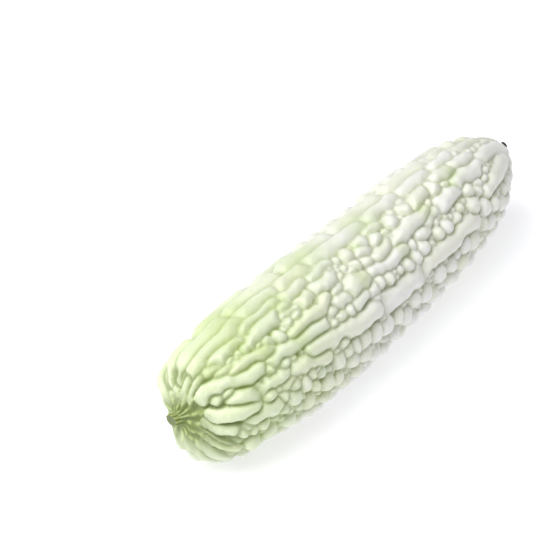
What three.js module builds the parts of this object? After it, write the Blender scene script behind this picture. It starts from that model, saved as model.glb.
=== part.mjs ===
// A whole bitter melon of the pale, warty kind, picked with a short stub of its stalk, lying on its side.
// Millimetres, +Z up. +X runs from the stalk end to the blossom end. The origin is under the middle of the
// melon's box, on the surface that it lies on.
import * as THREE from "three";

// ---- driving dimensions ----
const NECK_X = -116; // where the fruit's neck ends and the stalk starts
const TIP_X = 119; // the blossom end of the fruit
const STALK_LENGTH = 4.7; // stub left on when the fruit was cut from the vine
const STALK_RADIUS = 2.9;
const REMNANT_LENGTH = 3.2; // dried flower on the tip
const REMNANT_RADIUS = 1.3;
const JOINT_GAP = 0.3; // clearance between two pieces that touch
const RIBS = 10; // long ridges round the fruit
const RIB_TWIST = 0.14; // turn of the ridges from one end to the other, in radians
const WELTS_PER_RIB = 13; // long warts in a row on one ridge
const RIB_RELIEF = 1.5; // how far the ridges rise above the mean surface
const WELT_RELIEF = 1.3; // how far the warts rise and sink along a ridge
const REST_FLAT = 1.2; // how far the warts underneath are pressed flat where the fruit lies
const ROUND = 60; // steps round the fruit
const ROW_STEP = 4.2; // length of a step along the fruit

// Mean radius along the fruit, from the neck to the blossom end.
const FRUIT_PROFILE = [
  [NECK_X, 4.4],
  [-113.5, 11.0],
  [-110, 18.4],
  [-105.5, 22.6],
  [-99, 25.1],
  [-88, 27.2],
  [-65, 28.8],
  [-30, 29.5],
  [10, 28.4],
  [50, 26.8],
  [80, 23.0],
  [99, 16.9],
  [111, 9.6],
  [117, 4.4],
  [TIP_X, 1.6],
];

// The fruit's middle line bows a little: both ends lift and lean the same way.
const BOW_DIRECTION = new THREE.Vector3(0, 0.82, 0.57);
const BOW = [
  [-122, 4.6],
  [-114, 1.0],
  [-105, -0.5],
  [-60, -1.0],
  [0, -0.2],
  [50, 2.0],
  [95, 4.9],
  [122, 7.4],
];

// ---- shared shaping ----
function smoothCurve(points) {
  const corners = points.map(([x, value]) => new THREE.Vector3(x, value, 0));
  return new THREE.CatmullRomCurve3(corners, false, "centripetal");
}

// Reads the height of a smooth curve through [x, value] points.
function readsAt(points) {
  const samples = smoothCurve(points).getPoints(400);
  return (x) => {
    const beyond = samples.findIndex((p) => p.x > x);
    const next = beyond < 0 ? samples.length - 1 : Math.max(1, beyond);
    const [a, b] = [samples[next - 1], samples[next]];
    return a.y + ((b.y - a.y) * (x - a.x)) / (b.x - a.x);
  };
}

const bowAt = readsAt(BOW);

// A closed solid turned about the X axis from [x, radius] points. relief(x, angle) is added to the radius,
// angle 0 is straight up, and the whole follows the bowed middle line.
function turned(outline, steps, relief) {
  const points = [
    new THREE.Vector2(0, outline[0][0]),
    ...outline.map(([x, radius]) => new THREE.Vector2(radius, x)),
    new THREE.Vector2(0, outline.at(-1)[0]),
  ];
  const geometry = new THREE.LatheGeometry(points, steps);
  const position = geometry.getAttribute("position");
  const p = new THREE.Vector3();
  for (let i = 0; i < position.count; i++) {
    p.fromBufferAttribute(position, i);
    const x = p.y;
    const angle = Math.atan2(p.x, p.z);
    const plain = Math.hypot(p.x, p.z);
    const onAxis = plain < 0.01;
    const radius = onAxis ? 0 : plain + relief(x, angle);
    p.set(x, -radius * Math.sin(angle), radius * Math.cos(angle));
    p.addScaledVector(BOW_DIRECTION, bowAt(x));
    position.setXYZ(i, p.x, p.y, p.z);
  }
  geometry.computeVertexNormals();
  return geometry;
}

function piece(name, geometry, color, roughness) {
  const material = new THREE.MeshStandardMaterial({ color, roughness, metalness: 0 });
  const mesh = new THREE.Mesh(geometry, material);
  mesh.name = name;
  return mesh;
}

// ---- fruit: one grown piece, its long ridges broken up into welts ----
function fruitRelief(x, angle) {
  const along = (x - NECK_X) / (TIP_X - NECK_X);
  const fade = THREE.MathUtils.clamp(Math.min(along / 0.05, (1 - along) / 0.12), 0, 1);
  // Half a ridge of turn puts a groove at the very bottom, so the fruit lies on two ridges.
  const turn = angle + RIB_TWIST * (along - 0.5) + Math.PI / RIBS;
  const ridge = Math.cos(RIBS * turn);
  const ridgeNumber = Math.round((turn * RIBS) / (2 * Math.PI));
  const welt = Math.cos(2 * Math.PI * WELTS_PER_RIB * along + 2.4 * ridgeNumber);
  return fade * (RIB_RELIEF * ridge + WELT_RELIEF * welt * Math.max(0, ridge));
}

function makeFruit() {
  const curve = smoothCurve(FRUIT_PROFILE);
  const rows = Math.round(curve.getLength() / ROW_STEP);
  const outline = curve.getSpacedPoints(rows).map((p) => [p.x, p.y]);
  const geometry = turned(outline, ROUND, fruitRelief);
  geometry.computeBoundingBox();
  const floor = geometry.boundingBox.min.z + REST_FLAT;
  const position = geometry.getAttribute("position");
  for (let i = 0; i < position.count; i++) {
    position.setZ(i, Math.max(position.getZ(i), floor));
  }
  geometry.computeVertexNormals();
  return piece("fruit", geometry, "#e3ead0", 0.38);
}

// ---- stalk: a ribbed stub, cut across, that widens into the neck ----
function makeStalk() {
  const base = NECK_X - JOINT_GAP;
  const outline = [
    [base - STALK_LENGTH, STALK_RADIUS - 0.4],
    [base - STALK_LENGTH + 0.5, STALK_RADIUS],
    [base - STALK_LENGTH / 2, STALK_RADIUS],
    [base, STALK_RADIUS + 0.9],
  ];
  const ribs = 5;
  const ribRelief = 0.3;
  const geometry = turned(outline, 30, (x, angle) => ribRelief * Math.cos(ribs * angle));
  return piece("stalk", geometry, "#8f9f56", 0.6);
}

// ---- blossom remnant: the dried end of the flower, stuck on the tip ----
function makeBlossomRemnant() {
  const base = TIP_X + JOINT_GAP;
  const outline = [
    [base, REMNANT_RADIUS - 0.2],
    [base + REMNANT_LENGTH * 0.35, REMNANT_RADIUS],
    [base + REMNANT_LENGTH * 0.8, REMNANT_RADIUS * 0.7],
    [base + REMNANT_LENGTH, REMNANT_RADIUS * 0.3],
  ];
  return piece("blossom_remnant", turned(outline, 12, () => 0), "#3a332b", 0.85);
}

// ---- the whole melon, set down with the middle of its box over the origin ----
const pieces = new THREE.Group();
pieces.add(makeFruit(), makeStalk(), makeBlossomRemnant());
const box = new THREE.Box3().setFromObject(pieces, true);
const middle = box.getCenter(new THREE.Vector3());
pieces.position.set(-middle.x, -middle.y, -box.min.z);

const melon = new THREE.Group();
melon.name = "bitter_melon";
melon.add(pieces);

export default melon;
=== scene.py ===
# A whole pale bitter melon, cut with a stub of its stalk, lying on a plain floor.
import math

import bpy
import numpy as np
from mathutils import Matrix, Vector


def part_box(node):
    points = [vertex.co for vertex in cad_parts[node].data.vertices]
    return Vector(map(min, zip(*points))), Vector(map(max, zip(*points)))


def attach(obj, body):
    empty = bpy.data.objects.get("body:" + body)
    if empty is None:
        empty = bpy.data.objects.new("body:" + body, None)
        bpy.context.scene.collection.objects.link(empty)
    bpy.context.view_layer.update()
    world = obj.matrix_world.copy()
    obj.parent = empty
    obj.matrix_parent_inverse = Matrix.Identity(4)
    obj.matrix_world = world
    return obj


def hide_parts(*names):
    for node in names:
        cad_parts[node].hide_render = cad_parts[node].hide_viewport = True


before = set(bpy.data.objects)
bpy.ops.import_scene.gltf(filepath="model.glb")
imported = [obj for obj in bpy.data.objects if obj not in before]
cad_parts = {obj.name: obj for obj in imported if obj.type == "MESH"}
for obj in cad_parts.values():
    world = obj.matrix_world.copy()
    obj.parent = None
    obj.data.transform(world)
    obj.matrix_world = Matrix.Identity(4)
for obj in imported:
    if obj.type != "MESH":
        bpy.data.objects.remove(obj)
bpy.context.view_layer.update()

# ---- fruit ----
# The fruit of a white bitter melon: crisp flesh under a thin waxy skin, with no rind. It grew as one
# piece, its ridges swelling into long welts and the grooves between them filling with round warts.
MM = 0.001
LENGTH_STEP = 0.45 * MM  # fine enough for the creases between warts
ROUND_STEPS = 436
FRUIT_FACES = 196000
rng = np.random.default_rng(7)

# Radius of the flesh under the warts, along the fruit from the neck to the blossom end, in millimetres.
FLESH_OUTLINE = [
    (-118.4, 3.2),
    (-116.2, 4.4),
    (-113.6, 7.4),
    (-110.6, 12.0),
    (-107.4, 17.4),
    (-103.0, 21.0),
    (-96.0, 22.8),
    (-80.0, 25.3),
    (-60.0, 26.6),
    (-30.0, 27.0),
    (10.0, 25.9),
    (50.0, 24.6),
    (80.0, 21.4),
    (98.0, 16.4),
    (108.5, 11.0),
    (115.0, 6.4),
    (118.2, 2.9),
    (119.0, 0.0),
]
# The middle line bows: both ends lift and lean the same way. Offsets in millimetres.
BOW_TOWARDS = (0.82, 0.57)  # Y and Z
BOW = [(-122, 4.6), (-114, 1.0), (-105, -0.5), (-60, -1.0), (0, -0.2), (50, 2.0), (95, 4.9), (122, 7.4)]
# How high the tallest welts stand above the flesh.
WELT_HEIGHT = [
    (-121, 0.3), (-117, 0.7), (-112, 2.9), (-106, 4.7), (-92, 4.6),
    (80, 4.2), (98, 2.9), (108, 1.7), (119, 0.5),
]


def smooth_line(points, spacing, softness):
    """Evenly spaced points on a line through the given ones, its corners rounded off."""
    points = np.array(points, float)
    walked = np.concatenate([[0], np.cumsum(np.hypot(*np.diff(points, axis=0).T))])
    steps = round(walked[-1] / spacing)
    even = np.linspace(0, walked[-1], steps + 1)
    line = np.stack([np.interp(even, walked, column) for column in points.T], axis=1)
    reach = round(3 * softness / spacing)
    weights = np.exp(-0.5 * (np.arange(-reach, reach + 1) * spacing / softness) ** 2)
    weights /= weights.sum()
    ends = np.vstack([2 * line[0] - line[reach:0:-1], line, 2 * line[-1] - line[-2 : -reach - 2 : -1]])
    return np.stack([np.convolve(column, weights, "valid") for column in ends.T], axis=1)


bow_x, bow_y = smooth_line(BOW, 1.0, 8.0).T
outline = smooth_line(FLESH_OUTLINE, LENGTH_STEP / MM, 1.8)
outline[-1, 1] = 0
slope = np.gradient(outline, axis=0)
slope /= np.linalg.norm(slope, axis=1)[:, None]
out_x, out_r = -slope[:, 1], slope[:, 0]
height_at = np.interp(outline[:, 0], *zip(*WELT_HEIGHT))
crest_x = outline[:, 0] + out_x * height_at

# Places along the fruit are measured from near its middle. Where that is in the row frame comes from the
# CAD's boxes: the fruit's box starts at its neck, and the stalk's middle lies on the fruit's middle line.
NECK_X = -116
SHIFT_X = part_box("fruit")[0].x / MM - NECK_X
stalk_low, stalk_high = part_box("stalk")
stalk_middle = (stalk_low + stalk_high) / 2 / MM
stalk_bow = np.interp(stalk_middle.x - SHIFT_X, bow_x, bow_y)
AXIS_Y = stalk_middle.y - BOW_TOWARDS[0] * stalk_bow
AXIS_Z = stalk_middle.z - BOW_TOWARDS[1] * stalk_bow


def place(x, radius, angle):
    """Row-frame points, in millimetres, at a distance from the bowed middle line.

    Angle 0 is up, and a quarter turn on is -Y.
    """
    bow = np.interp(x, bow_x, bow_y)
    y = AXIS_Y + BOW_TOWARDS[0] * bow - radius * np.sin(angle)
    z = AXIS_Z + BOW_TOWARDS[1] * bow + radius * np.cos(angle)
    return np.stack(np.broadcast_arrays(x + SHIFT_X, y, z), axis=-1)


# Long welts, as (half width, [(x, angle in degrees), ...]), row by row round the fruit. These catch the eye
# on one side of it, and the rest of the skin is filled in round them.
WELTS = [
    # shoulder round the stalk
    (3.7, [(-113, 27), (-106, 27), (-100, 32), (-94, 36), (-89, 37.5)]),
    (3.3, [(-106, 50), (-101, 52.5), (-95, 55)]),
    (3.8, [(-113, 62), (-106, 65), (-99, 67)]),
    (4.2, [(-100, 76), (-94, 77), (-88, 78)]),
    (2.8, [(-114.5, 82), (-109, 87.5)]),
    (2.0, [(-114, 110), (-108, 113)]),
    (3.0, [(-114, 130), (-108, 138)]),
    (2.5, [(-107, 8), (-101.5, 7)]),
    (2.3, [(-104, 19), (-98, 20)]),
    (2.4, [(-111.5, -21), (-110.5, -21)]),
    # lobes round the neck
    (3.7, [(-115, -84), (-108, -78), (-98, -74)]),
    (3.3, [(-115.5, -36), (-110, -32)]),
    (3.3, [(-115.5, -58), (-110, -54)]),
    (2.6, [(-115.5, -12), (-111, -10)]),
    (2.2, [(-114.5, 8), (-110.5, 6)]),
    (1.5, [(-116.2, 96), (-113.5, 102), (-110.5, 108)]),
    (2.8, [(-116.8, 152), (-112, 146), (-107, 142)]),
    (3.2, [(-116.5, 176), (-111, 172)]),
    # top
    (4.0, [(-109, -9), (-98, -7), (-88, -8), (-79, -11)]),
    (4.2, [(-74, -14), (-66, -12), (-56, -12)]),
    (4.4, [(-50, -9), (-42, -10), (-36, -9)]),
    (4.7, [(-29, -12), (-20, -10), (-8, -9), (2, -9)]),
    (4.4, [(10, -9), (18, -11), (28, -9)]),
    (4.2, [(36, -8), (45, -7), (52, -8)]),
    (4.2, [(-112, -30), (-103, -27), (-92, -27), (-82, -26)]),
    (4.3, [(-73, -31), (-60, -28), (-47, -27)]),
    (4.6, [(-38, -28), (-25, -26), (-12, -27)]),
    (4.5, [(-3, -25), (10, -25), (24, -24)]),
    (4.3, [(33, -25), (46, -24), (58, -23)]),
    (3.8, [(-113, -50), (-104, -47), (-94, -46)]),
    (4.4, [(-85, -48), (-70, -46), (-58, -46)]),
    (4.0, [(-100, 2), (-93, 4), (-86, 7)]),
    (4.5, [(-87, 14), (-80, 12), (-72, 9), (-66, 8.5)]),
    (3.8, [(-98, 26), (-91, 26), (-85, 28), (-80, 28)]),
    (3.5, [(-80, 0), (-70, 0), (-60, 0)]),
    (3.0, [(-64, 13), (-56, 16)]),
    (4.0, [(-55, 2), (-50, 4), (-43, 2)]),
    (3.2, [(-40, 3), (-33, 3.5), (-27, 2)]),
    (4.2, [(-52, 14.5), (-46, 15)]),
    (4.2, [(-43, 14), (-36, 15), (-31, 14)]),
    (4.0, [(-6, 6), (-2, 6)]),
    (3.9, [(0.5, 14), (1.5, 14)]),
    (3.9, [(-9.5, 16), (-8.5, 16)]),
    (3.2, [(0, 5), (8, 2.5)]),
    (3.9, [(41, 6), (36, 9.5), (32, 14)]),
    (4.2, [(53.5, 4), (58, 5), (64, 9)]),
    (3.8, [(68, 5), (74, 9), (80, 13)]),
    (3.5, [(61, -6), (67, -7), (73, -9)]),
    # second row, above the main ridge
    (3.3, [(-83, 40), (-74, 39), (-64, 40), (-55, 41), (-49, 41.5)]),
    (3.8, [(-66, 31), (-58, 30.5), (-52, 31), (-46, 28), (-42, 26)]),
    (3.6, [(-39, 37), (-32, 36)]),
    (5.3, [(-28, 34.5), (-21, 34)]),
    (2.6, [(-35, 29), (-30.5, 28)]),
    (3.4, [(-13, 37), (-5, 38), (3, 37), (9, 36.5)]),
    (3.3, [(-6, 27), (0, 26), (6, 25)]),
    (3.9, [(7, 27), (14, 26), (22, 25), (30, 25), (34, 26)]),
    (3.0, [(22, 38.5), (27, 38)]),
    (2.4, [(28, 36), (34, 32), (40, 30)]),
    (3.9, [(43, 29), (50, 28.5), (56, 27)]),
    (4.2, [(60, 24.5), (66, 23), (74, 25), (81, 23)]),
    # main ridge
    (3.4, [(-94, 55), (-85, 55.5), (-77, 55)]),
    (3.8, [(-76, 57), (-70, 60), (-63, 62.5), (-57, 64)]),
    (4.1, [(-63, 56), (-56, 56), (-48, 57.5), (-40, 59.5), (-32, 62), (-24, 63), (-16, 64.5)]),
    (4.8, [(-16, 64.5), (-8, 66), (0, 68), (8, 68), (12, 66)]),
    (4.2, [(13, 66), (20, 65), (30, 65), (40, 65.5), (48, 64), (57, 67)]),
    (3.0, [(-31, 47), (-24, 45)]),
    # tip
    (3.5, [(83, 20), (92, 20), (102, 22), (112, 25)]),
    (4.0, [(73, 53), (81, 52), (89, 50), (95, 47), (102, 43)]),
    # low rows
    (2.8, [(-83, 64), (-77, 62)]),
]

# Round warts, as (radius, x, angle in degrees).
WARTS = [
    # between the shoulder's welts
    (3.0, -111, 39), (2.7, -106.5, 42.5), (2.0, -96, 15), (2.0, -92.5, 19), (3.0, -90.5, 16),
    (3.0, -103.5, 86), (3.0, -101, 90), (3.0, -106, 91), (3.5, -97, 87), (4.0, -113, 166),
    # top
    (2.2, -84, 2), (2.2, -81, 7), (2.0, -86, 20), (3.0, -82, 21), (3.4, -78.5, 25), (3.2, -72, 27),
    (2.5, -67, 24), (3.5, -64.5, 21), (2.0, -65, 17), (3.3, -58.5, 22), (4.2, -59, 10), (2.5, -29, 10),
    (2.2, -27.5, 21), (2.5, -46.5, 23), (2.2, -22, 17), (3.0, -20, 22), (3.2, -17, 20), (3.4, -11.5, 26),
    (4.0, -16, 9), (4.2, 15, 11), (1.5, 12, 4), (2.0, 8.5, 22), (3.3, 28, 2), (4.3, 26.5, 8.5),
    (2.7, 38.5, 21.5), (4.5, 47.5, 13), (1.7, 49.5, 3.5), (3.0, 55, 18.5), (2.5, 76, -4),
    # groove above the main ridge, from the stalk on
    (3.2, -85.5, 45), (2.0, -87.5, 50), (1.4, -81.5, 46), (1.3, -79.5, 46), (3.6, -77.5, 48),
    (1.8, -91.5, 50.5), (2.0, -72.5, 50), (3.0, -45.5, 48), (2.4, -47.5, 42), (3.6, -42.5, 41),
    (3.6, -42, 47.5), (3.3, -35.5, 46), (4.0, -18.5, 48), (3.0, -18.5, 54), (3.6, -13, 44.5),
    (3.6, -7, 47), (2.0, -3, 46.5), (3.3, 7, 53), (3.4, 14, 51), (2.6, 15.5, 40), (4.0, 20, 49),
    (1.7, 26, 53), (3.1, 32, 49.5), (3.5, 38.3, 49.5), (1.5, 43.5, 43.5), (2.8, 46.5, 50),
    (2.6, 51.5, 45), (1.8, 56, 43.5), (4.8, 59.5, 53), (4.5, 67.5, 66), (3.8, 62, 37.5), (3.0, 69, 45),
    (2.8, 71, 40), (3.0, 76.5, 43), (3.0, 80, 35),
    # below the main ridge
    (3.4, -91, 65.5), (2.8, -85.5, 64.5), (2.0, -74, 66.5), (3.7, -77.5, 70), (4.3, -72, 76),
    (3.3, -67, 71), (2.6, -63, 70), (3.0, -62, 75), (3.8, -85, 72), (4.5, -79.5, 79), (3.2, -86, 85),
    (2.5, -50, 68.5), (3.6, -46, 66), (4.5, -50.5, 78), (3.6, -45, 76), (4.5, -38.5, 79), (5.0, -34, 79),
    (4.5, -25.5, 83), (3.0, -19, 75), (5.0, -18, 83), (4.5, -42, 89), (4.0, -34, 93), (4.5, 4, 84),
    (4.5, 13, 90), (2.0, 8, 80), (2.3, 18, 74), (4.7, 24, 83.5), (4.0, 34, 86), (2.5, 39, 81),
    (4.0, 45.5, 79.5), (5.0, 54, 86), (3.5, 64.5, 80),
]


def row_at(x):
    """The outline row whose welt crests stand at x."""
    return np.interp(x, crest_x, np.arange(len(outline)))


def flesh_point(x, angle):
    """The point on the flesh under the welt crests at x."""
    row = row_at(x)
    at = np.arange(len(outline))
    return place(np.interp(row, at, outline[:, 0]), np.interp(row, at, outline[:, 1]), angle)


class SkinGrid:
    """Points on the flesh, row by row along the fruit and step by step round it."""

    def __init__(self, every_row, round_steps):
        self.rows = np.arange(0, len(outline), every_row)
        self.angles = np.arange(round_steps) * 2 * math.pi / round_steps
        self.points = place(outline[self.rows, 0][:, None], outline[self.rows, 1][:, None], self.angles)
        self.row_step = every_row * LENGTH_STEP / MM
        self.radius = outline[self.rows, 1]

    def near(self, nodes, reach):
        """Index arrays of the patch within reach of a line of (x, angle) nodes."""
        spots = row_at(np.array([x for x, _ in nodes]))
        angles = np.array([angle for _, angle in nodes])
        margin = reach / (LENGTH_STEP / MM)
        first = np.searchsorted(self.rows, spots.min() - margin)
        last = np.searchsorted(self.rows, spots.max() + margin)
        rows = np.arange(first, max(last, first + 1)).clip(0, len(self.rows) - 1)
        rows = np.unique(rows)
        thin = max(self.radius[rows].min(), 0.5)
        half_turn = min(math.pi, 1.3 * reach / thin + np.ptp(angles) / 2)
        step = 2 * math.pi / len(self.angles)
        first_turn = math.floor(((angles.max() + angles.min()) / 2 - half_turn) / step)
        turns = np.arange(first_turn, first_turn + min(len(self.angles), math.ceil(2 * half_turn / step) + 1))
        return np.ix_(rows, turns % len(self.angles))

    def distance(self, patch, nodes):
        """Distance of each point in a patch from the straight stretches between (x, angle) nodes."""
        spots = [flesh_point(*spot) for spot in nodes]
        nearest = np.full(patch[0].shape[:1] + patch[1].shape[1:], np.inf)
        for a, b in zip(spots, spots[1:] or spots):
            along = b - a
            offset = self.points[patch] - a
            share = (offset @ along / max(along @ along, 1e-9)).clip(0, 1)
            nearest = np.minimum(nearest, np.linalg.norm(offset - share[..., None] * along, axis=-1))
        return nearest


# Every wart and welt ends up here as (half width, share of the full height, [(x, angle in radians), ...]).
swellings = []
map_grid = SkinGrid(every_row=2, round_steps=210)
FAR_AWAY = 99.0
clearance = np.full(map_grid.points.shape[:2], FAR_AWAY)  # room left to the nearest swelling's edge


def height_share(half_width):
    """A broad welt stands full height, and a small wart in a groove about half of it."""
    return min(1.08, 0.3 + 0.2 * half_width)


def grow(half_width, nodes, lift=1.0):
    """Adds a swelling along (x, angle) nodes, and takes its room from the skin around it."""
    share = height_share(half_width) * lift * rng.uniform(0.94, 1.06)
    swellings.append((half_width, share, nodes))
    patch = map_grid.near(nodes, half_width + 6)
    clearance[patch] = np.minimum(clearance[patch], map_grid.distance(patch, nodes) - half_width)


for half_width, nodes in WELTS:
    grow(half_width, [(x, math.radians(angle)) for x, angle in nodes])
for radius, x, angle in WARTS:
    grow(radius, [(x, math.radians(angle))])


def room_at(x, angle):
    """Distance to the edge of the nearest swelling so far, below 0 inside it."""
    row = np.abs(map_grid.rows - row_at(x)).argmin()
    column = round(angle / (2 * math.pi) * len(map_grid.angles)) % len(map_grid.angles)
    return clearance[row, column]


# The ridges on the far side and underneath carry on in the same way, with welts in rows.
RIDGES = 13
FIRST_RIDGE = -9  # degrees
RIDGE_PITCH = 18.5
RIDGE_DRIFT = [(-115, -9), (-60, -2), (0, 5), (60, 4), (115, -8)]  # how a ridge leans, in degrees along x
RIDGES_END_X = 106
WIDEST_FLESH = 27
SHARE_BROKEN_UP = 0.22  # of the stretches, where round warts grow instead of a welt
LOW_RIDGES = 3  # the ridges next to the top stand a little lower than the rest
for ridge in range(RIDGES):
    base = FIRST_RIDGE - RIDGE_PITCH * ridge
    x = -113 + rng.uniform(0, 3)
    while x < RIDGES_END_X:
        thick = np.interp(x, outline[:, 0], outline[:, 1]) / WIDEST_FLESH
        half_width = rng.uniform(3.3, 4.6) * max(0.45, thick)
        run = rng.uniform(5, 26) if x > -108 else rng.uniform(8, 14)
        wander = rng.uniform(-7, 7)
        spots = []
        for share in (0, 0.33, 0.67, 1):
            along = x + run * share
            lean = np.interp(along, *zip(*RIDGE_DRIFT)) + wander * math.sin(3 * share)
            spots.append((along, math.radians(base + lean)))
        broken_up = rng.random() < SHARE_BROKEN_UP
        if not broken_up and min(room_at(*spot) for spot in spots) > half_width * 0.75:
            heights = (0.78, 0.9) if ridge < LOW_RIDGES else (0.85, 1.1)
            grow(half_width, spots, lift=rng.uniform(*heights))
        x += run + 2 * half_width + rng.uniform(-1.5, 1.0)

# What is left fills with round warts, the largest that fit first. They press together a little.
CROWDING = 0.86
WARTS_START_X = -110  # none are filled in nearer the stalk
for radius in (4.2, 3.7, 3.2, 2.7, 2.3, 1.9, 1.6, 1.3, 1.1, 0.9):
    spots = rng.permutation(clearance.size)
    for spot in spots[clearance.ravel()[spots] > radius * CROWDING]:
        row, column = divmod(int(spot), clearance.shape[1])
        x = crest_x[map_grid.rows[row]]
        if clearance[row, column] > radius * CROWDING and x > WARTS_START_X:
            grow(radius, [(x, map_grid.angles[column])])

skin = SkinGrid(every_row=1, round_steps=ROUND_STEPS)


def wavy(points, wavelength, size, seed):
    """A gentle, repeatable wobble of points, in millimetres."""
    waves = np.random.default_rng(seed)
    total = np.zeros_like(points)
    for _ in range(6):
        direction = waves.normal(size=3)
        direction *= 2 * math.pi / (wavelength * np.linalg.norm(direction))
        total += np.sin(points @ direction + waves.uniform(0, 6.3))[..., None] * waves.normal(size=3)
    return total * size / math.sqrt(6)


# The swellings are measured on slightly wobbled points, so that none of them has a straight edge.
true_points = skin.points
skin.points = true_points + wavy(true_points, wavelength=14, size=0.5, seed=3)
skin.points += wavy(true_points, wavelength=6, size=0.16, seed=4)

# Each point belongs to the swelling it lies deepest in. The swellings round up from where they meet.
SEARCH_MARGIN = 3.0
depth = np.full(skin.points.shape[:2], -SEARCH_MARGIN)  # how far inside the nearest edge of its own swelling
runner_up = np.full_like(depth, -FAR_AWAY)
own_width = np.ones_like(depth)
own_height = np.zeros_like(depth)
own_tone = np.zeros_like(depth)  # each swelling is its own shade, between the palest and the yellowest
tones = np.random.default_rng(11).uniform(0, 1, len(swellings)) ** 2
for (half_width, share, nodes), tone in zip(swellings, tones):
    patch = skin.near(nodes, half_width + SEARCH_MARGIN)
    inside = half_width - skin.distance(patch, nodes)
    deeper = inside > depth[patch]
    runner_up[patch] = np.where(deeper, depth[patch], np.maximum(runner_up[patch], inside))
    depth[patch] = np.where(deeper, inside, depth[patch])
    own_width[patch] = np.where(deeper, half_width, own_width[patch])
    own_height[patch] = np.where(deeper, share * height_at[patch[0]], own_height[patch])
    own_tone[patch] = np.where(deeper, tone, own_tone[patch])
CREASE_LEVEL = 0.28  # height of the creases, as a share of the tallest welts there
ROUNDNESS = 0.62  # 1 would be a plain dome, and less gives a flatter top and steeper sides
LEAST_RISE = 0.3
GAP_SLOPE = 0.45  # how steeply the skin dips where no swelling reaches
GAP_REACH = 1.5
crease_floor = CREASE_LEVEL * height_at[:, None]
to_crease = np.minimum(depth, (depth - runner_up) / 2)
rounded = (1 - (1 - (to_crease / own_width).clip(0, 1)) ** 2) ** ROUNDNESS
height = crease_floor + np.maximum(own_height - crease_floor, LEAST_RISE) * rounded
height += GAP_SLOPE * to_crease.clip(-GAP_REACH, 0)


def blurred(field, reach):
    """A field averaged over a square patch of 2 * reach + 1 steps a side."""
    wide = np.pad(field, ((reach, reach), (0, 0)), "edge")
    wide = sum(np.roll(wide, k, axis=1) for k in range(-reach, reach + 1))
    return sum(wide[k : k + len(field)] for k in range(2 * reach + 1)) / (2 * reach + 1) ** 2


height = blurred(height, 1)
# Just past the top the skin has grown smoother, and so has the tip.
CALM_ROUND = [(-95, 0), (-60, 0.75), (-14, 0.75), (12, 0)]  # by angle in degrees
CALM_ALONG = [(-108, 0.3), (-85, 1)]
CALM_TIP = [(92, 0), (112, 0.8)]
signed = (skin.angles + math.pi) % (2 * math.pi) - math.pi
calm = np.interp(np.degrees(signed), *zip(*CALM_ROUND)) * np.interp(outline[:, 0], *zip(*CALM_ALONG))[:, None]
calm = np.maximum(calm, np.interp(outline[:, 0], *zip(*CALM_TIP))[:, None])
height = height + calm * (blurred(height, 4) - height)

# Creases are where the skin lies lower than its surroundings.
FULL_CREASE = 1.3  # this much lower counts as a full crease
crease = ((blurred(height, 7) - height) / FULL_CREASE).clip(0, 1)

# Fine ribs run from the stalk out over the neck, and sink into the skin between the first welts.
NECK_RIBS = 14
RIB_HEIGHT = 0.55
RIB_FADE = [(-117, 1.0), (-112.5, 0.8), (-107, 0.0)]
WRINKLE_HEIGHT = [(-117, 0.3), (-108, 0.2), (-98, 0.0)]
rib_phase = NECK_RIBS * skin.angles + 1.3 * np.sin(3 * skin.angles) + 0.9 * np.sin(5 * skin.angles + 2)
meander = wavy(true_points, 9, 1.1, 31)[..., 0]
broken = (0.75 + 0.6 * wavy(true_points, 3.2, 1, 32)[..., 1]).clip(0.15, 1)
rib_fade = np.interp(outline[:, 0], *zip(*RIB_FADE))[:, None]
ribs = rib_fade * broken * (0.5 + 0.5 * np.cos(rib_phase + meander)) ** 2
height += RIB_HEIGHT * ribs * (1 - rounded)
wrinkle = np.interp(outline[:, 0], *zip(*WRINKLE_HEIGHT))[:, None]
ripple = wavy(true_points, 2.6, 0.05, 9)[..., 0] + wrinkle * wavy(true_points, 1.5, 1, 33)[..., 0]
lift = height + ripple
# Underneath, the shoulder beside the stalk hangs lower and the belly after it is drawn in.
UNDERSIDE_MIDDLE = math.radians(156)
UNDERSIDE = [
    (-118.5, 0), (-116.5, 5.4), (-112, 6.4), (-106, 4.2), (-99, 0.8),
    (-92, -1.2), (-78, -1.1), (-55, -0.4), (-20, 0),
]
under_round = np.cos((skin.angles - UNDERSIDE_MIDDLE).clip(-math.pi / 2, math.pi / 2)) ** 2
lift = lift + np.interp(outline[:, 0], *zip(*UNDERSIDE))[:, None] * under_round
# Rounded lobes hang from the shoulder under the stalk, as (x, angle in degrees, reach, height).
LOBES = [(-114.0, 166, 3.4, 0.9), (-112.0, 146, 3.6, 1.4), (-109.0, 172, 4.5, 1.5)]
for x, angle, reach, tall in LOBES:
    away = np.linalg.norm(true_points - flesh_point(x, math.radians(angle)), axis=-1)
    lift = lift + tall * np.exp(-((away / reach) ** 2))
corners = place(
    (outline[:, 0] + out_x * lift.T).T,
    np.maximum((outline[:, 1] + out_r * lift.T).T, 0),
    skin.angles,
)
# It lies on its lowest warts, which are pressed a little flat.
FLOOR_SOFTNESS = 0.5
low = corners[..., 2]
corners[..., 2] = np.where(low < FLOOR_SOFTNESS, FLOOR_SOFTNESS * np.exp(low / FLOOR_SOFTNESS - 1), low)

# Some welts have turned greener at one end, as (x, angle in degrees, reach).
GREEN_ENDS = [
    (-89, 7, 5), (-82, 28, 5), (-21, 33, 4.5), (8, 37, 4), (33, 24, 4), (62, 12, 5), (-107, 9, 4),
    (-60, 2, 6), (-30, -22, 15), (-80, -25, 13), (4, -6, 10), (-66, 40, 5), (-10, 8, 4), (56, 20, 4),
]
green_end = np.zeros_like(height)
for x, angle, reach in GREEN_ENDS:
    away = np.linalg.norm(true_points - flesh_point(x, math.radians(angle)), axis=-1)
    green_end = np.maximum(green_end, np.exp(-((away / reach) ** 2)))


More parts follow.
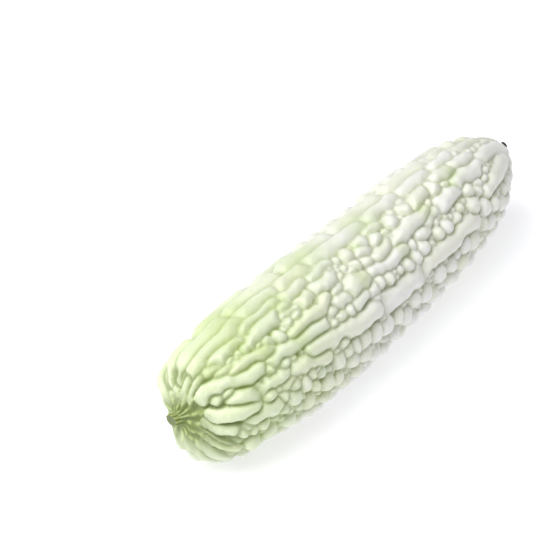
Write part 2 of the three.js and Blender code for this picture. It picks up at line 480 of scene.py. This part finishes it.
def tube_faces(rows, around):
    """Quads between rings of points, with rings closed on themselves."""
    first = np.arange(rows - 1)[:, None] * around + np.arange(around)
    second = np.arange(rows - 1)[:, None] * around + (np.arange(around) + 1) % around
    return np.stack([first, second, second + around, first + around], axis=-1).reshape(-1, 4)


def closed_tube(name, rings):
    """A mesh object from rings of millimetre points, closed by a fan at each end.

    It faces out when the rings follow each other along +X and turn from up towards -Y.
    """
    rows, around = rings.shape[:2]
    points = np.vstack([rings.reshape(-1, 3), rings[0].mean(0), rings[-1].mean(0)])
    faces = tube_faces(rows, around).tolist()
    turn = (np.arange(around) + 1) % around
    start, end = rows * around, rows * around + 1
    last = (rows - 1) * around
    faces += [[start, int(turn[i]), i] for i in range(around)]
    faces += [[end, last + i, last + int(turn[i])] for i in range(around)]
    mesh = bpy.data.meshes.new(name)
    mesh.from_pydata((points * MM).tolist(), [], faces)
    mesh.validate()
    mesh.shade_smooth()
    piece = bpy.data.objects.new(name, mesh)
    bpy.context.scene.collection.objects.link(piece)
    return piece


def keep_on_points(piece, name, values):
    """Stores a number per point for the material, with the two end points given the mean."""
    layer = piece.data.attributes.new(name, "FLOAT", "POINT")
    flat = values.ravel()
    layer.data.foreach_set("value", np.append(flat, [flat.mean()] * 2).astype(np.float32))


fruit = closed_tube("warty_fruit", corners)
keep_on_points(fruit, "crease", crease)
keep_on_points(fruit, "height", (height / height_at[:, None]).clip(0, 1))
keep_on_points(fruit, "ribs", ribs)
keep_on_points(fruit, "green_end", green_end)
keep_on_points(fruit, "tone", blurred(own_tone, 2))
thin_out = fruit.modifiers.new("thin out", "DECIMATE")
thin_out.ratio = FRUIT_FACES / (2 * len(fruit.data.polygons))
bpy.context.view_layer.objects.active = fruit
fruit.select_set(True)
bpy.ops.object.modifier_apply(modifier=thin_out.name)
fruit.data.shade_smooth()


def linear(hex_colour):
    """An sRGB hex colour as the linear RGBA that a shader socket takes."""
    parts = [int(hex_colour[i : i + 2], 16) / 255 for i in (1, 3, 5)]
    return tuple(p / 12.92 if p <= 0.04045 else ((p + 0.055) / 1.055) ** 2.4 for p in parts) + (1.0,)


def node(tree, kind, settings=None, **inputs):
    """Adds a node with its settings, and feeds its inputs with values or with other nodes' outputs."""
    made = tree.nodes.new(kind)
    for key, value in (settings or {}).items():
        setattr(made, key, value)
    for key, value in inputs.items():
        by_number = key[0] == "i" and key[1:].isdigit()  # i6 is input 6, and Base_Color the one of that name
        socket = made.inputs[int(key[1:]) if by_number else key.replace("_", " ")]
        if isinstance(value, bpy.types.NodeSocket):
            tree.links.new(value, socket)
        else:
            socket.default_value = value
    return made


def new_material(name):
    material = bpy.data.materials.new(name)
    material.use_nodes = True
    material.node_tree.nodes.clear()
    return material, material.node_tree


# Waxy skin of an unripe white bitter melon, as grown. The wax gives broad soft highlights, light soaks
# into the pale flesh, and the skin is greener towards the stalk. The creases are greener and darker,
# partly the thin skin's own green and partly painted shade.
waxy_skin, tree = new_material("waxy_melon_skin")
CROWN_STALK = linear("#e9f3d0")
CROWN_TIP = linear("#f8f7f6")
# The crease colours are greener and darker than the crowns: partly the skin's own green, partly painted
# shade.
CREASE_STALK = linear("#a2b564")
CREASE_TIP = linear("#c9cdb9")
YELLOWER_WART = linear("#e2e6b4")
GREEN_END = linear("#b9d36e")
NECK_GREEN = linear("#75874a")
RIB_GREEN = linear("#c3d38a")
FLECK_GREEN = linear("#c2d18a")
PATCH_SIZE = 16.7 * MM  # clouds of paler and greener skin
FLECK_SIZE = 2.38 * MM
PORE_SIZE = 1.11 * MM  # drawn coarser than real pores, which wouldn't show
BUMP_DEPTH = 0.2 * MM
LIGHT_REACH = 3 * MM  # how far light soaks into the flesh

spot = node(tree, "ShaderNodeTexCoord").outputs["Object"]
place_axes = node(tree, "ShaderNodeSeparateXYZ", Vector=spot)
x_place = place_axes.outputs["X"]
z_place = place_axes.outputs["Z"]
crease_value = node(tree, "ShaderNodeAttribute", {"attribute_name": "crease"}).outputs["Fac"]
height_value = node(tree, "ShaderNodeAttribute", {"attribute_name": "height"}).outputs["Fac"]
tone_value = node(tree, "ShaderNodeAttribute", {"attribute_name": "tone"}).outputs["Fac"]
green_value = node(tree, "ShaderNodeAttribute", {"attribute_name": "green_end"}).outputs["Fac"]
ribs_value = node(tree, "ShaderNodeAttribute", {"attribute_name": "ribs"}).outputs["Fac"]
patches = node(tree, "ShaderNodeTexNoise", Vector=spot, Scale=1 / PATCH_SIZE, Detail=2.0,
               Roughness=0.55).outputs["Fac"]
flecks = node(tree, "ShaderNodeTexNoise", Vector=spot, Scale=1 / FLECK_SIZE, Detail=3.0,
              Roughness=0.6).outputs["Fac"]

# It pales from the stalk to the tip, with cloudy edges. Painted light and shade by height: the top is painted
# greener and the underside paler.
from_stalk = node(tree, "ShaderNodeMapRange", {"interpolation_type": "SMOOTHSTEP"},
                  Value=x_place, From_Min=-112 * MM, From_Max=-5 * MM).outputs["Result"]
along_shift = node(tree, "ShaderNodeMath", {"operation": "MULTIPLY_ADD"},
                   i0=patches, i1=0.5, i2=-0.25).outputs[0]
# Painted light and shade: the top is painted greener where the light falls, and the underside paler and
# greyer where it lies in shade.
near_top = node(tree, "ShaderNodeMapRange", {"interpolation_type": "SMOOTHSTEP"},
                Value=z_place, From_Min=30 * MM, From_Max=62 * MM, To_Min=0.0, To_Max=-0.12).outputs["Result"]
near_floor = node(tree, "ShaderNodeMapRange", {"interpolation_type": "SMOOTHSTEP"},
                  Value=z_place, From_Min=24 * MM, From_Max=4 * MM, To_Min=0.0, To_Max=0.6).outputs["Result"]
painted_light_by_height = node(tree, "ShaderNodeMath", {"operation": "ADD"}, i0=near_top, i1=near_floor).outputs[0]
patch_and_painted_light_shift = node(tree, "ShaderNodeMath", {"operation": "ADD"}, i0=along_shift, i1=painted_light_by_height).outputs[0]
along_mix = node(tree, "ShaderNodeMath", {"operation": "ADD", "use_clamp": True},
                 i0=from_stalk, i1=patch_and_painted_light_shift).outputs[0]
crown = node(tree, "ShaderNodeMix", {"data_type": "RGBA"},
             i0=along_mix, i6=CROWN_STALK, i7=CROWN_TIP).outputs[2]
crease_green_and_shade = node(tree, "ShaderNodeMix", {"data_type": "RGBA"},
                     i0=along_mix, i6=CREASE_STALK, i7=CREASE_TIP).outputs[2]

# Creases and low parts are greener and darker, partly the skin's own green and partly painted shade. Each
# wart has its own tone, and some ends are green.
low_part = node(tree, "ShaderNodeMapRange", {"interpolation_type": "SMOOTHSTEP"},
                Value=height_value, From_Min=0.95, From_Max=0.30).outputs["Result"]
low_green_and_shade = node(tree, "ShaderNodeMath", {"operation": "MULTIPLY"}, i0=low_part, i1=0.45).outputs[0]
deep = node(tree, "ShaderNodeMath", {"operation": "MAXIMUM"}, i0=crease_value, i1=low_green_and_shade).outputs[0]
body_colour = node(tree, "ShaderNodeMix", {"data_type": "RGBA"},
                   i0=deep, i6=crown, i7=crease_green_and_shade).outputs[2]
tone_amount = node(tree, "ShaderNodeMath", {"operation": "MULTIPLY"}, i0=tone_value, i1=0.3).outputs[0]
toned = node(tree, "ShaderNodeMix", {"data_type": "RGBA"},
             i0=tone_amount, i6=body_colour, i7=YELLOWER_WART).outputs[2]
green_amount = node(tree, "ShaderNodeMath", {"operation": "MULTIPLY"}, i0=green_value, i1=0.36).outputs[0]
greened = node(tree, "ShaderNodeMix", {"data_type": "RGBA"},
               i0=green_amount, i6=toned, i7=GREEN_END).outputs[2]

# Round the stalk, the sunken skin is a deeper green between paler ribs, partly the neck's own green and
# partly painted shade in the hollows, and it is painted less green underneath.
at_neck = node(tree, "ShaderNodeMapRange", {"interpolation_type": "SMOOTHSTEP"},
               Value=x_place, From_Min=-100 * MM, From_Max=-113.5 * MM).outputs["Result"]
# The sunk mask puts painted shade into the neck's hollows, together with its own deeper green.
sunk = node(tree, "ShaderNodeMapRange", {"interpolation_type": "SMOOTHSTEP"},
            Value=height_value, From_Min=0.78, From_Max=0.3).outputs["Result"]
neck_green_and_shade = node(tree, "ShaderNodeMix", {"data_type": "RGBA"},
                   i0=ribs_value, i6=NECK_GREEN, i7=RIB_GREEN).outputs[2]
by_stalk = node(tree, "ShaderNodeMapRange", {"interpolation_type": "SMOOTHSTEP"},
                Value=x_place, From_Min=-112.5 * MM, From_Max=-117.5 * MM).outputs["Result"]
above = node(tree, "ShaderNodeMapRange", {"interpolation_type": "SMOOTHSTEP"},
             Value=z_place, From_Min=12 * MM, From_Max=32 * MM, To_Min=0.25, To_Max=1.0).outputs["Result"]
by_stalk_above = node(tree, "ShaderNodeMath", {"operation": "MULTIPLY"}, i0=by_stalk, i1=above).outputs[0]
sunk_or_near = node(tree, "ShaderNodeMath", {"operation": "MAXIMUM"}, i0=sunk, i1=by_stalk_above).outputs[0]
at_neck_above = node(tree, "ShaderNodeMath", {"operation": "MULTIPLY"}, i0=at_neck, i1=above).outputs[0]
neck_amount = node(tree, "ShaderNodeMath", {"operation": "MULTIPLY"},
                   i0=at_neck_above, i1=sunk_or_near).outputs[0]
with_neck = node(tree, "ShaderNodeMix", {"data_type": "RGBA"},
                 i0=neck_amount, i6=greened, i7=neck_green_and_shade).outputs[2]

fleck_amount = node(tree, "ShaderNodeMapRange", Value=flecks, From_Min=0.35, From_Max=0.7,
                    To_Min=0.0, To_Max=0.10).outputs["Result"]
skin_colour = node(tree, "ShaderNodeMix", {"data_type": "RGBA"},
                   i0=fleck_amount, i6=with_neck, i7=FLECK_GREEN).outputs[2]
pores = node(tree, "ShaderNodeTexNoise", Vector=spot, Scale=1 / PORE_SIZE, Detail=2.0).outputs["Fac"]
roughness = node(tree, "ShaderNodeMapRange", Value=patches, From_Min=0.3, From_Max=0.7,
                 To_Min=0.34, To_Max=0.46).outputs["Result"]
bump = node(tree, "ShaderNodeBump", Height=pores, Strength=0.12, Distance=BUMP_DEPTH).outputs["Normal"]
shader = node(tree, "ShaderNodeBsdfPrincipled", Base_Color=skin_colour, Roughness=roughness, Normal=bump,
              IOR=1.42, Subsurface_Weight=0.35, Subsurface_Radius=(1.0, 0.95, 0.7),
              Subsurface_Scale=LIGHT_REACH, Coat_Weight=0.12, Coat_Roughness=0.3).outputs["BSDF"]
node(tree, "ShaderNodeOutputMaterial", Surface=shader)
fruit.data.materials.append(waxy_skin)
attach(fruit, "root")
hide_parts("fruit")

# ---- stalk ----
# The stub of the stalk, cut across when the fruit was picked. Ridged green rind round a pale, drying
# core. It grew out of the neck, and its ribs run on down the fruit.
STALK_AROUND = 120
STALK_RIBS = 9
FINE_RIBS = 23
RIB_DEPTH = 0.22
FINE_RIB_DEPTH = 0.1
stalk_out = stalk_low.x / MM - SHIFT_X
# From the middle of its cut face on, as (distance along, radius). It runs on into the neck, under the
# skin's ribs.
STALK_OUTLINE = [
    (0.55, 0.3),
    (0.45, 1.2),
    (0.2, 2.0),
    (0.0, 2.45),
    (0.15, 2.8),
    (0.7, 2.95),
    (2.0, 2.85),
    (3.6, 3.0),
    (4.8, 3.5),
    (6.3, 4.3),
]
angles = np.arange(STALK_AROUND) * 2 * math.pi / STALK_AROUND
outline_points = smooth_line(STALK_OUTLINE, 0.12, 0.16)
ribbing = RIB_DEPTH * np.cos(STALK_RIBS * angles) + FINE_RIB_DEPTH * np.cos(FINE_RIBS * angles + 1)
rib_share = np.interp(outline_points[:, 1], [2.2, 2.8], [0.15, 1.0])  # hardly any on the cut face
rings = place(
    stalk_out + outline_points[:, :1],
    outline_points[:, 1:] + rib_share[:, None] * ribbing,
    angles,
)
stalk = closed_tube("cut_stalk", rings)
keep_on_points(stalk, "rind", np.repeat(rib_share[:, None], STALK_AROUND, axis=1))
rib_level = 0.5 + 0.5 * ribbing / (RIB_DEPTH + FINE_RIB_DEPTH)
keep_on_points(stalk, "rib", np.repeat(rib_level[None], len(rings), axis=0))

# Green stalk rind, fibrous and matt, and its cut face, which has dried darker than it was cut.
stalk_rind, tree = new_material("green_stalk_rind")
# The rind is darker green down in its grooves, partly its own colour and partly painted shade, and paler on
# its ribs.
RIND_GROOVE_SHADE = linear("#6b7a38")
RIND_RIB = linear("#b5c47c")
CUT_DARK = linear("#5c6640")
CUT_PALE = linear("#8e9668")
FIBRE_SIZE = 0.385 * MM
FIBRE_BUMP = 0.3 * MM
spot = node(tree, "ShaderNodeTexCoord").outputs["Object"]
rind_value = node(tree, "ShaderNodeAttribute", {"attribute_name": "rind"}).outputs["Fac"]
rib_value = node(tree, "ShaderNodeAttribute", {"attribute_name": "rib"}).outputs["Fac"]
stretched = node(tree, "ShaderNodeMapping", Vector=spot, Scale=(0.25, 1.0, 1.0)).outputs["Vector"]
fibres = node(tree, "ShaderNodeTexNoise", Vector=stretched, Scale=1 / FIBRE_SIZE, Detail=3.0).outputs["Fac"]
green = node(tree, "ShaderNodeMix", {"data_type": "RGBA"},
             i0=rib_value, i6=RIND_GROOVE_SHADE, i7=RIND_RIB).outputs[2]
cut_face = node(tree, "ShaderNodeMix", {"data_type": "RGBA"},
                i0=fibres, i6=CUT_DARK, i7=CUT_PALE).outputs[2]
rind_colour = node(tree, "ShaderNodeMix", {"data_type": "RGBA"},
                   i0=rind_value, i6=cut_face, i7=green).outputs[2]
bump = node(tree, "ShaderNodeBump", Height=fibres, Strength=0.4, Distance=FIBRE_BUMP).outputs["Normal"]
shader = node(tree, "ShaderNodeBsdfPrincipled", Base_Color=rind_colour, Roughness=0.6, Normal=bump,
              Subsurface_Weight=0.1, Subsurface_Scale=1 * MM).outputs["BSDF"]
node(tree, "ShaderNodeOutputMaterial", Surface=shader)
stalk.data.materials.append(stalk_rind)
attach(stalk, "root")
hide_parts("stalk")

# ---- blossom remnant ----
# The withered end of the flower, dry and nearly black. It shrivelled onto the tip as the fruit grew,
# and lies across one side of it.
REMNANT_AROUND = 48
REMNANT_SIDE = math.radians(28)  # which way round the fruit it curls
REMNANT_REACH = 114.9  # how far back along the fruit it lies
# From its free end to where it grows from the tip: how far its middle stands off the skin, and half of
# its thickness.
REMNANT_PROUD = [(0, 0.3), (0.7, 0.4), (1, 0.8)]
REMNANT_THICKNESS = [(0, 0.2), (0.2, 0.6), (0.6, 0.65), (1, 0.5)]
REMNANT_BREADTH = 2.7  # it is this much broader than thick
column = round(REMNANT_SIDE / (2 * math.pi) * len(skin.angles))
lain_on = outline[:, 0] > REMNANT_REACH
from_free_end = np.linspace(0, 1, lain_on.sum())
stand_off = lift[lain_on, column] + np.interp(from_free_end, *zip(*REMNANT_PROUD))
middle_line = place(
    outline[lain_on, 0] + out_x[lain_on] * stand_off,
    np.maximum(outline[lain_on, 1] + out_r[lain_on] * stand_off, 0),
    REMNANT_SIDE,
)
half_thick = np.interp(from_free_end, *zip(*REMNANT_THICKNESS))
SMOOTHING_ROUNDS = 12
for _ in range(SMOOTHING_ROUNDS):
    middle_line[1:-1] = (middle_line[:-2] + 2 * middle_line[1:-1] + middle_line[2:]) / 4
heading = np.gradient(middle_line, axis=0)
heading /= np.linalg.norm(heading, axis=1)[:, None]
sideways = np.array([0.0, math.cos(REMNANT_SIDE), math.sin(REMNANT_SIDE)])
outward = np.cross(heading, sideways)
angles = np.arange(REMNANT_AROUND) * 2 * math.pi / REMNANT_AROUND
across = REMNANT_BREADTH * np.cos(angles)[None, :, None] * sideways
round_it = across + np.sin(angles)[None, :, None] * outward[:, None]
rings = middle_line[:, None] + half_thick[:, None, None] * round_it
rings += wavy(rings, wavelength=1.1, size=0.14, seed=21) + wavy(rings, wavelength=0.5, size=0.06, seed=22)
remnant = closed_tube("dried_blossom", rings)

# Withered petal tissue, dry and crumpled: dull, almost black, with brown where it is thin.
dry_petal, tree = new_material("dried_petal")
PETAL_BLACK = linear("#1d1a16")
PETAL_BROWN = linear("#54493a")
CRUMPLE_SIZE = 0.556 * MM
CRUMPLE_BUMP = 0.3 * MM
spot = node(tree, "ShaderNodeTexCoord").outputs["Object"]
grain = node(tree, "ShaderNodeTexNoise", Vector=spot, Scale=1 / CRUMPLE_SIZE, Detail=3.0).outputs["Fac"]
brown = node(tree, "ShaderNodeMix", {"data_type": "RGBA"},
             i0=grain, i6=PETAL_BLACK, i7=PETAL_BROWN).outputs[2]
bump = node(tree, "ShaderNodeBump", Height=grain, Strength=0.6, Distance=CRUMPLE_BUMP).outputs["Normal"]
shader = node(tree, "ShaderNodeBsdfPrincipled", Base_Color=brown, Roughness=0.85, Normal=bump).outputs["BSDF"]
node(tree, "ShaderNodeOutputMaterial", Surface=shader)
remnant.data.materials.append(dry_petal)
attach(remnant, "root")
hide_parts("blossom_remnant")

# ---- floor, light and camera ----
# A matt white card that the melon lies on, glowing a little so that it stays white under the melon's own
# lights: a large window beyond the stalk end, and a soft ceiling light above.
FLOOR_HALF = 3.0
FLOOR_CORNERS = [(-FLOOR_HALF, -FLOOR_HALF, 0), (FLOOR_HALF, -FLOOR_HALF, 0),
                 (FLOOR_HALF, FLOOR_HALF, 0), (-FLOOR_HALF, FLOOR_HALF, 0)]
mesh = bpy.data.meshes.new("floor")
mesh.from_pydata(FLOOR_CORNERS, [], [(0, 1, 2, 3)])
floor = bpy.data.objects.new("floor", mesh)
bpy.context.scene.collection.objects.link(floor)

# Uncoated card: matt and even, with hardly any shine.
white_card, tree = new_material("matt_white_card")
shader = node(tree, "ShaderNodeBsdfPrincipled", Base_Color=linear("#e4e4ea"), Roughness=0.9,
              Specular_IOR_Level=0.1, Emission_Color=(1, 1, 1, 1), Emission_Strength=0.45).outputs["BSDF"]
node(tree, "ShaderNodeOutputMaterial", Surface=shader)
floor.data.materials.append(white_card)


def soft_light(name, azimuth, elevation, distance, size, watts):
    """A square area light that looks at the middle of the melon."""
    data = bpy.data.lights.new(name, "AREA")
    data.size = size
    data.energy = watts
    light = bpy.data.objects.new(name, data)
    aim = Vector((0, 0, AXIS_Z * MM))
    turn, rise = math.radians(azimuth), math.radians(elevation)
    away = Vector((math.sin(turn) * math.cos(rise), -math.cos(turn) * math.cos(rise), math.sin(rise)))
    light.location = aim + away * distance
    light.rotation_euler = away.to_track_quat("Z", "Y").to_euler()
    bpy.context.scene.collection.objects.link(light)
    return light


soft_light("window", azimuth=-120, elevation=54, distance=1.6, size=1.5, watts=20.5)
soft_light("ceiling", azimuth=-60, elevation=80, distance=1.8, size=1.6, watts=13)

world = bpy.data.worlds.new("white room")
world.use_nodes = True
room = world.node_tree.nodes["Background"]
room.inputs["Color"].default_value = (1, 1, 1, 1)
room.inputs["Strength"].default_value = 0.23
bpy.context.scene.world = world

CAMERA_AZIMUTH = -50
CAMERA_ELEVATION = 40
CAMERA_DISTANCE = 0.85
# It looks past the middle of the melon, which leaves room at its stalk end.
CAMERA_AIM = Vector((-0.0193 + SHIFT_X * MM, 0.0359 + AXIS_Y * MM, AXIS_Z * MM))
lens = bpy.data.cameras.new("camera")
lens.lens = 126
lens.sensor_width = 36
camera = bpy.data.objects.new("camera", lens)
turn, rise = math.radians(CAMERA_AZIMUTH), math.radians(CAMERA_ELEVATION)
away = Vector((math.sin(turn) * math.cos(rise), -math.cos(turn) * math.cos(rise), math.sin(rise)))
camera.location = CAMERA_AIM + away * CAMERA_DISTANCE
camera.rotation_euler = away.to_track_quat("Z", "Y").to_euler()
bpy.context.scene.collection.objects.link(camera)
bpy.context.scene.camera = camera
bpy.context.scene.view_settings.view_transform = "Standard"
